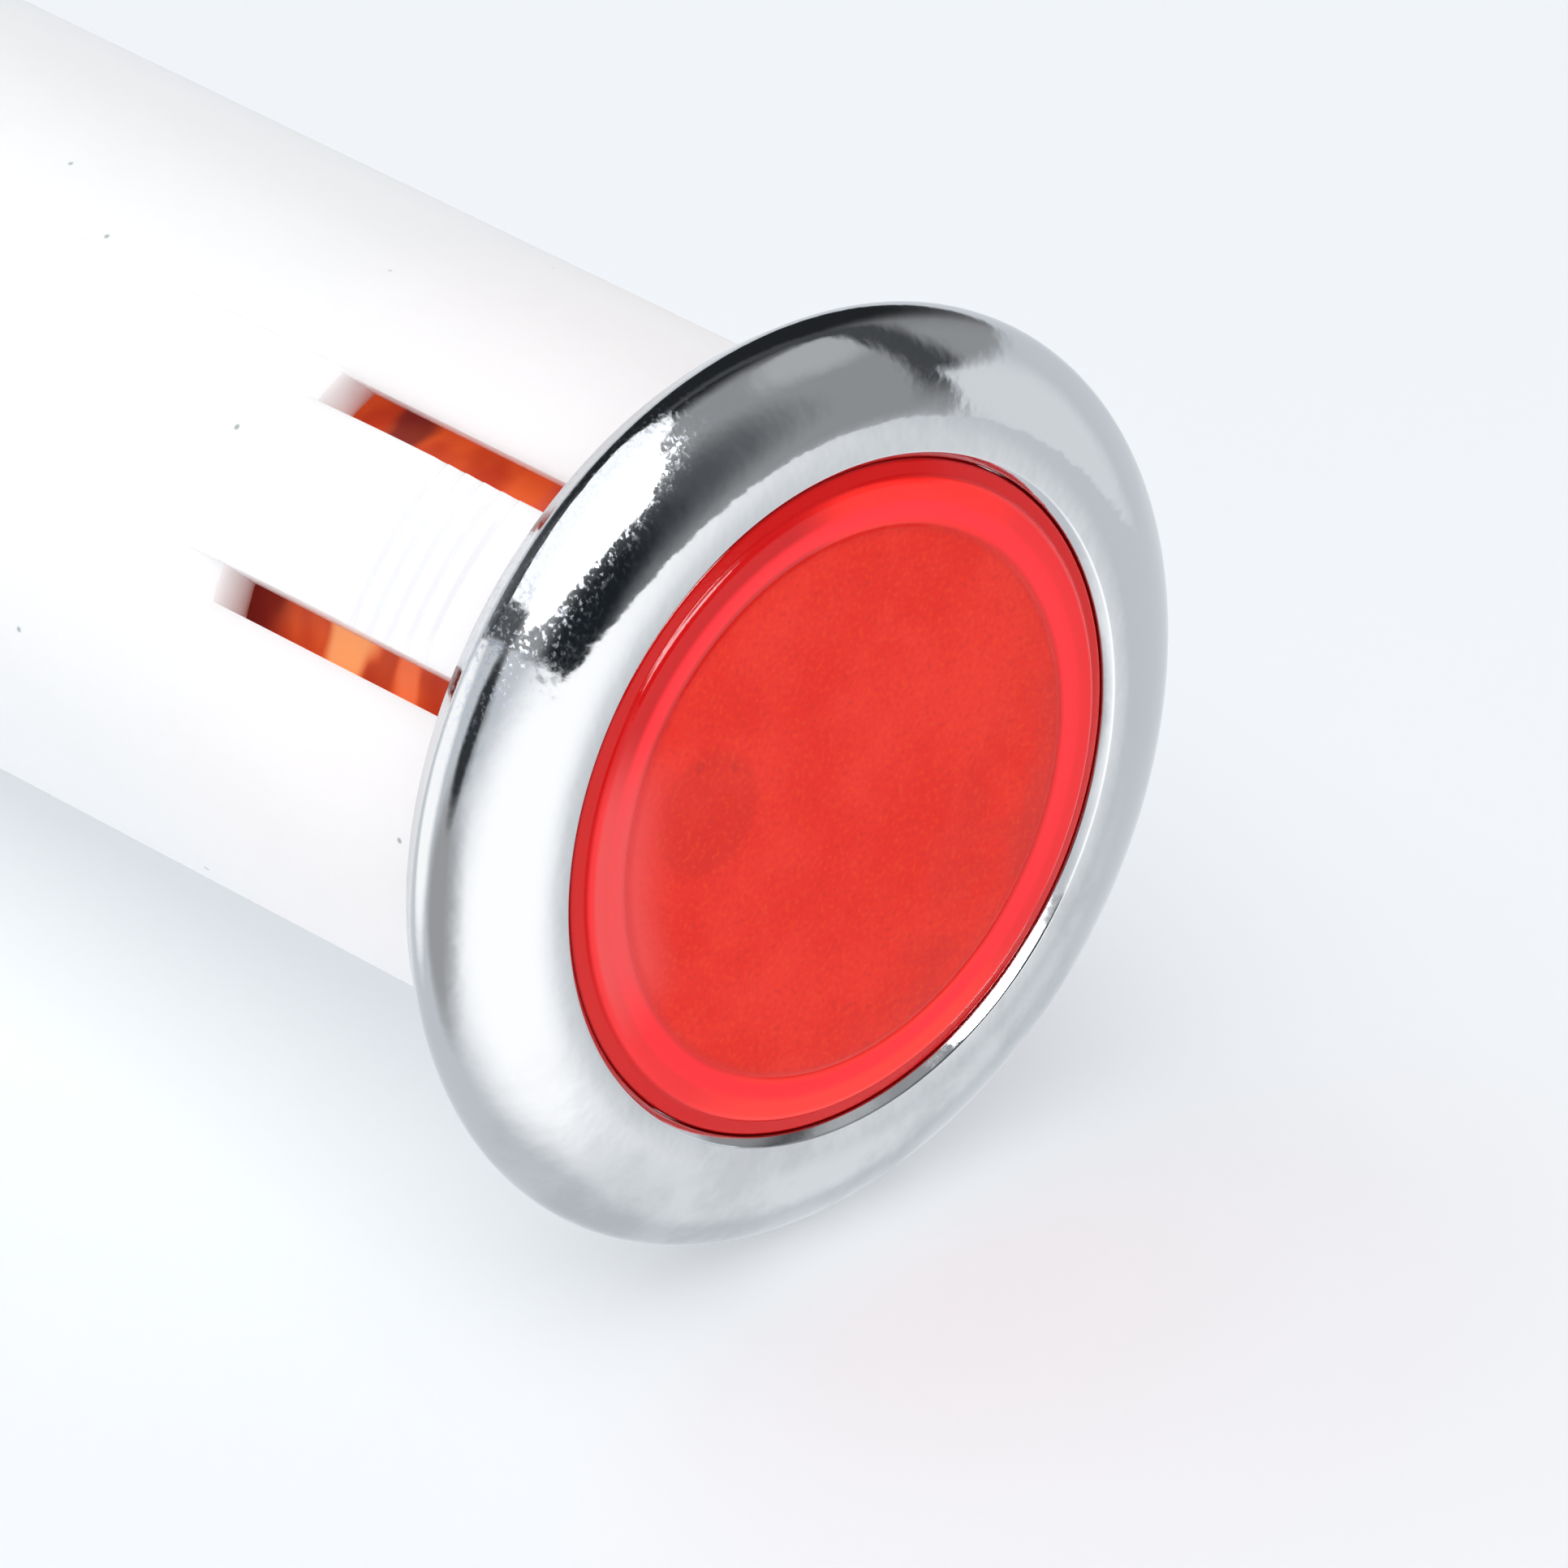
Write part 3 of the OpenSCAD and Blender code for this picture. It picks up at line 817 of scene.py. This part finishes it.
def housing_bmesh():
    """Barrel with its flange, the slots and both snap fingers, as one moulding."""
    reach = BARREL_R + 2
    half = FINGER_W / 2
    body = lathe_bmesh(barrel_profile(), HOUSING_SEGMENTS)
    ring = lathe_bmesh(finger_profile(), HOUSING_SEGMENTS)
    pad_box = boxes_bmesh(((-reach, -half, SLOT_START), (reach, half, RAMP_END)))
    body = combined(body, combined(ring, pad_box, "INTERSECT"), "UNION")
    for cut in finger_cuts(reach):
        body = combined(body, cut, "DIFFERENCE")
    bmesh.ops.remove_doubles(body, verts=body.verts, dist=0.0005)
    return body


def mark_rounded_edges(bm):
    """Marks every edge that gets a rounding: not those where the ramp runs out to nothing."""
    weight = bm.edges.layers.float.new("bevel_weight_edge")
    for edge in bm.edges:
        z = (edge.verts[0].co.z + edge.verts[1].co.z) / 2
        on_ramp = SLOT_END - 0.05 < z < RAMP_END + 0.1
        sharp = edge.calc_face_angle(0.0) > math.radians(ROUNDED)
        edge[weight] = float(sharp and not on_ramp)


housing_draft = housing_bmesh()
mark_rounded_edges(housing_draft)
housing = add_piece("housing_moulding", housing_draft, to_panel(FINGER_ANGLE))
soften(housing, 0.04, "WEIGHT")
finish_piece(housing, "housing")

for name, width in (("base", 0.06), ("terminal_a", 0.05), ("terminal_b", 0.05), ("sleeve", 0.03)):
    soften(frame["nodes"][name], width)


# ---------------------------------------------------------------- camera
def toward(azimuth, elevation):
    """A direction: azimuth 0 looks along -Y, where the lens faces, and 90 along +X."""
    a = math.radians(azimuth)
    e = math.radians(elevation)
    return Vector((math.sin(a) * math.cos(e), -math.cos(a) * math.cos(e), math.sin(e)))


def place_camera(azimuth, elevation, roll, distance, target, field):
    """Looks at target, in metres, from a direction; field is the view's angle across."""
    back = toward(azimuth, elevation)
    level = Vector((math.cos(math.radians(azimuth)), math.sin(math.radians(azimuth)), 0))
    right = Matrix.Rotation(math.radians(roll), 3, back) @ level
    axes = Matrix((right, back.cross(right), back)).transposed().to_4x4()
    camera = bpy.data.objects.new("camera", bpy.data.cameras.new("camera"))
    camera.matrix_world = Matrix.Translation(Vector(target) + back * distance) @ axes
    camera.data.sensor_width = 36
    camera.data.lens = 18 / math.tan(math.radians(field) / 2)
    camera.data.clip_start = 0.01
    camera.data.clip_end = 10
    bpy.context.scene.collection.objects.link(camera)
    bpy.context.scene.camera = camera


place_camera(
    azimuth=-40.655,
    elevation=30.222,
    roll=-3.546,
    distance=0.29033,
    target=(0.00003, -0.00046, -0.0003),
    field=5.268,
)


# ---------------------------------------------------------------- stage and light
def table_material():
    """Pale table. It glows a little, as a sheet lit from behind, so shadows on it stay faint."""
    glow_share = 0.36
    seen_glow = 1.0
    other_glow = 1.45
    material, tree, shader = new_material("table")
    set_inputs(shader, Base_Color=(0.86, 0.88, 0.90, 1), Roughness=0.6, Specular_IOR_Level=0.2)
    rays = tree.nodes.new("ShaderNodeLightPath")
    glow = node(tree, "ShaderNodeEmission", Color=(0.87, 0.90, 0.93, 1))
    strength = remap(tree, rays.outputs["Is Camera Ray"], 0.0, 1.0, other_glow, seen_glow)
    link(tree, strength, glow.inputs["Strength"])
    lit = mix_shader(tree, glow_share, shader.outputs[0], glow.outputs[0])
    clear = tree.nodes.new("ShaderNodeBsdfTransparent").outputs[0]
    shown = mix_shader(tree, rays.outputs["Is Glossy Ray"], lit, clear)
    link(tree, shown, tree.nodes["Material Output"].inputs["Surface"])
    return material


def floor():
    """A table that the bezel's rim and the barrel's rear edge rest on."""
    front = Vector((0, -(RIM_R + RIM_STAND) * MM, -BEZEL_R * MM))
    rear = Vector((0, (REAR - REAR_EDGE) * MM, -BARREL_R * MM))
    along = (rear - front).normalized()
    tilt = math.atan2(along.z, along.y)
    place = Matrix.Translation(front) @ Matrix.Rotation(tilt, 4, "X")
    bm = bmesh.new()
    bmesh.ops.create_grid(bm, x_segments=1, y_segments=1, size=1.5)
    bmesh.ops.transform(bm, matrix=place, verts=bm.verts)
    obj = add_object("table", bm)
    obj.data.materials.append(table_material())


floor()


def area_light(name, place, aim, size, power):
    data = bpy.data.lights.new(name, "AREA")
    data.shape = "RECTANGLE"
    data.size, data.size_y = size
    data.energy = power
    obj = bpy.data.objects.new(name, data)
    obj.location = place
    obj.rotation_euler = (Vector(aim) - Vector(place)).to_track_quat("-Z", "Y").to_euler()
    bpy.context.scene.collection.objects.link(obj)
    return obj


area_light("softbox", (-0.185, -0.155, 0.45), aim=(-0.185, -0.155, 0), size=(0.46, 1.3), power=2.8)
fill = area_light("fill", (-0.32, -0.30, 0.02), aim=(0, 0, 0), size=(0.3, 0.3), power=0.34)
fill.visible_glossy = False
strip = area_light("strip", toward(-18, 42) * 0.4, aim=(0, 0, 0), size=(0.26, 0.14), power=2.6)
strip.visible_diffuse = False


def gray(level, tint=0.0):
    return (level * (1 - tint), level, level * (1 + tint))


def patches(tree, direction, color, rows):
    """Lays soft round patches over a colour, each row being azimuth, elevation, the degrees
    within which it is whole, those at which it is gone, brightness and blue tint."""
    for azimuth, elevation, inner, outer, level, tint in rows:
        near = dot(tree, direction, toward(azimuth, elevation))
        far_edge = math.cos(math.radians(outer))
        patch = smooth(tree, near, far_edge, math.cos(math.radians(inner)))
        color = mix_color(tree, patch, color, gray(level, tint))
    return color


DARK_SIDE = (
    (145, 42, 30, 64, 0.025, 0.1),
    (-112, 34, 38, 60, 0.13, 0.05),
    (6, 14, 8, 34, 0.12, 0.08),
    (-5, 7, 9, 25, 0.02, 0.25),
)
LIGHT_CORNER = ((55, 39, 6, 17, 0.62, 0.02),)
WINDOW_DIRECTION = (0.563, 0.72, -0.406)
WINDOW_GLARE = ((62, -10, 10, 24, 1.02, 0.03),)
TABLE_PATCHES = (
    (-8, -22, 20, 52, 1.6, 0.0),
    (47, -56, 10, 25, 1.08, 0.03),
    (-78, -16, 16, 36, 0.5, 0.01),
    (-142, -2, 16, 34, 1.5, 0.0),
    (-68, 19, 11, 24, 0.05, 0.1),
)


def reflected_room(tree, direction):
    """What the plating mirrors: a white table below, and a room with a dark and a bright side."""
    x, _, z = split(tree, direction)
    room = patches(tree, direction, gray(0.42, 0.02), DARK_SIDE)
    low_right = times(tree, smooth(tree, z, -0.15, -0.48), smooth(tree, x, 0.25, 0.4))
    room = mix_color(tree, low_right, room, gray(0.98, 0.03))
    room = patches(tree, direction, room, LIGHT_CORNER)

    # A bright window behind, with a dark frame line along its edge
    behind = dot(tree, direction, WINDOW_DIRECTION)
    frame_line = band(tree, behind, (-0.10, -0.03), (0.2, 0.05))
    frame_line = times(tree, frame_line, smooth(tree, z, -0.2, 0.1))
    room = mix_color(tree, frame_line, room, gray(0.09, 0.05))
    bright = times(tree, smooth(tree, behind, -0.01, 0.03), smooth(tree, z, 0.15, 0.05))
    window = patches(tree, direction, gray(0.82, 0.05), WINDOW_GLARE)
    room = mix_color(tree, bright, room, window)

    # The table ends at two straight edges
    right_edge = math_node(tree, "ADD", dot(tree, direction, (0.66, 0.0, 0.75)), 0.04)
    far_edge = math_node(tree, "ADD", dot(tree, direction, (0.37, 0.0, 0.93)), 0.025)
    above_table = math_node(tree, "MINIMUM", right_edge, far_edge)
    table = patches(tree, direction, gray(0.84, 0.045), TABLE_PATCHES)
    return mix_color(tree, smooth(tree, above_table, -0.012, 0.012), table, room)


def studio():
    """Plain even light all round. Only reflections see the room."""
    world = bpy.data.worlds.new("studio")
    bpy.context.scene.world = world
    world.use_nodes = True
    tree = world.node_tree
    plain = tree.nodes["Background"]
    set_inputs(plain, Color=(0.95, 0.97, 1.0, 1), Strength=0.59)
    direction = tree.nodes.new("ShaderNodeTexCoord").outputs["Generated"]
    seen = tree.nodes.new("ShaderNodeBackground")
    link(tree, reflected_room(tree, direction), seen.inputs["Color"])
    rays = tree.nodes.new("ShaderNodeLightPath")
    shown = mix_shader(tree, rays.outputs["Is Glossy Ray"], plain.outputs[0], seen.outputs[0])
    link(tree, shown, tree.nodes["World Output"].inputs["Surface"])


studio()

bpy.context.scene.view_settings.view_transform = "Standard"
